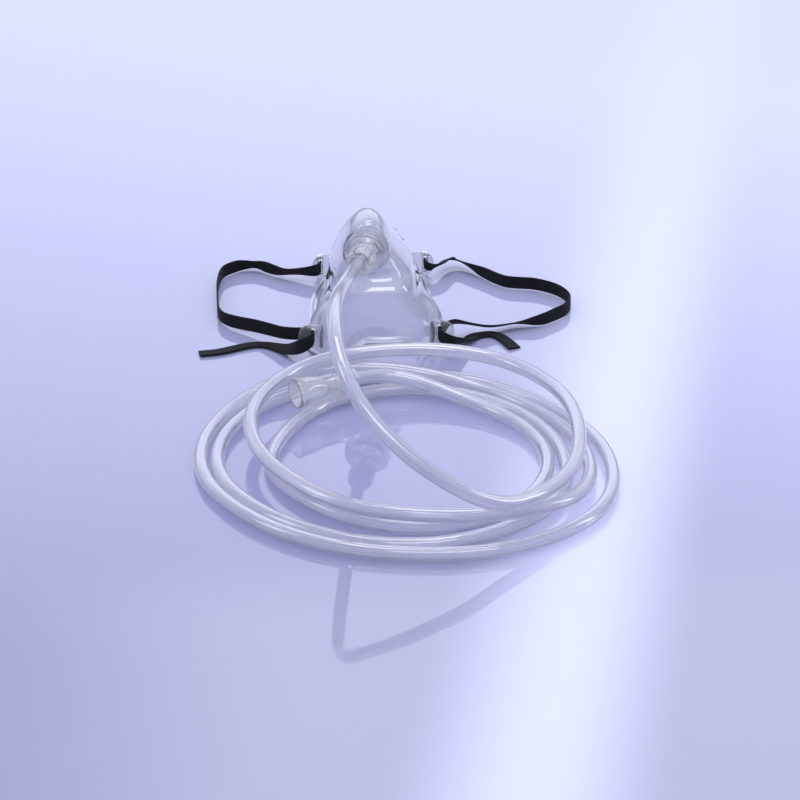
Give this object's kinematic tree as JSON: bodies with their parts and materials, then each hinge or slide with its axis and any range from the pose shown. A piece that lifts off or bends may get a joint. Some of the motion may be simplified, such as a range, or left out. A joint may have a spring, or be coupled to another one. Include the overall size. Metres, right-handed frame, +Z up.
{
  "type": "oxygen face mask",
  "caption": "Clear soft oxygen mask lying face down, with a ported chin end, a nose strip, side vents, elastic straps and a coil of clear tubing.",
  "frame": {"origin": "on the table under the middle of the mask's rim", "axes": "+Z up, away from the table; +Y towards the nose end; the tube port and the coil are at -Y"},
  "size_m": [0.183, 0.2911, 0.0809],
  "materials": {
    "clear_vinyl": "soft clear vinyl with a wet gloss",
    "tube_vinyl": "clear vinyl tubing, glossy",
    "connector_plastic": "hard clear moulded plastic",
    "black_elastic": "matte knitted elastic ribbon",
    "aluminium": "soft bright aluminium strip"
  },
  "bodies": {
    "root": {"mask_body": "clear_vinyl", "nose_clip": "aluminium", "port_connector": "connector_plastic", "oxygen_tube": "tube_vinyl", "tube_coil": "tube_vinyl", "tube_end_connector": "clear_vinyl", "strap_left": "black_elastic", "strap_right": "black_elastic", "strap_clip_left": "aluminium", "strap_clip_right": "aluminium"}
  },
  "joints": []
}
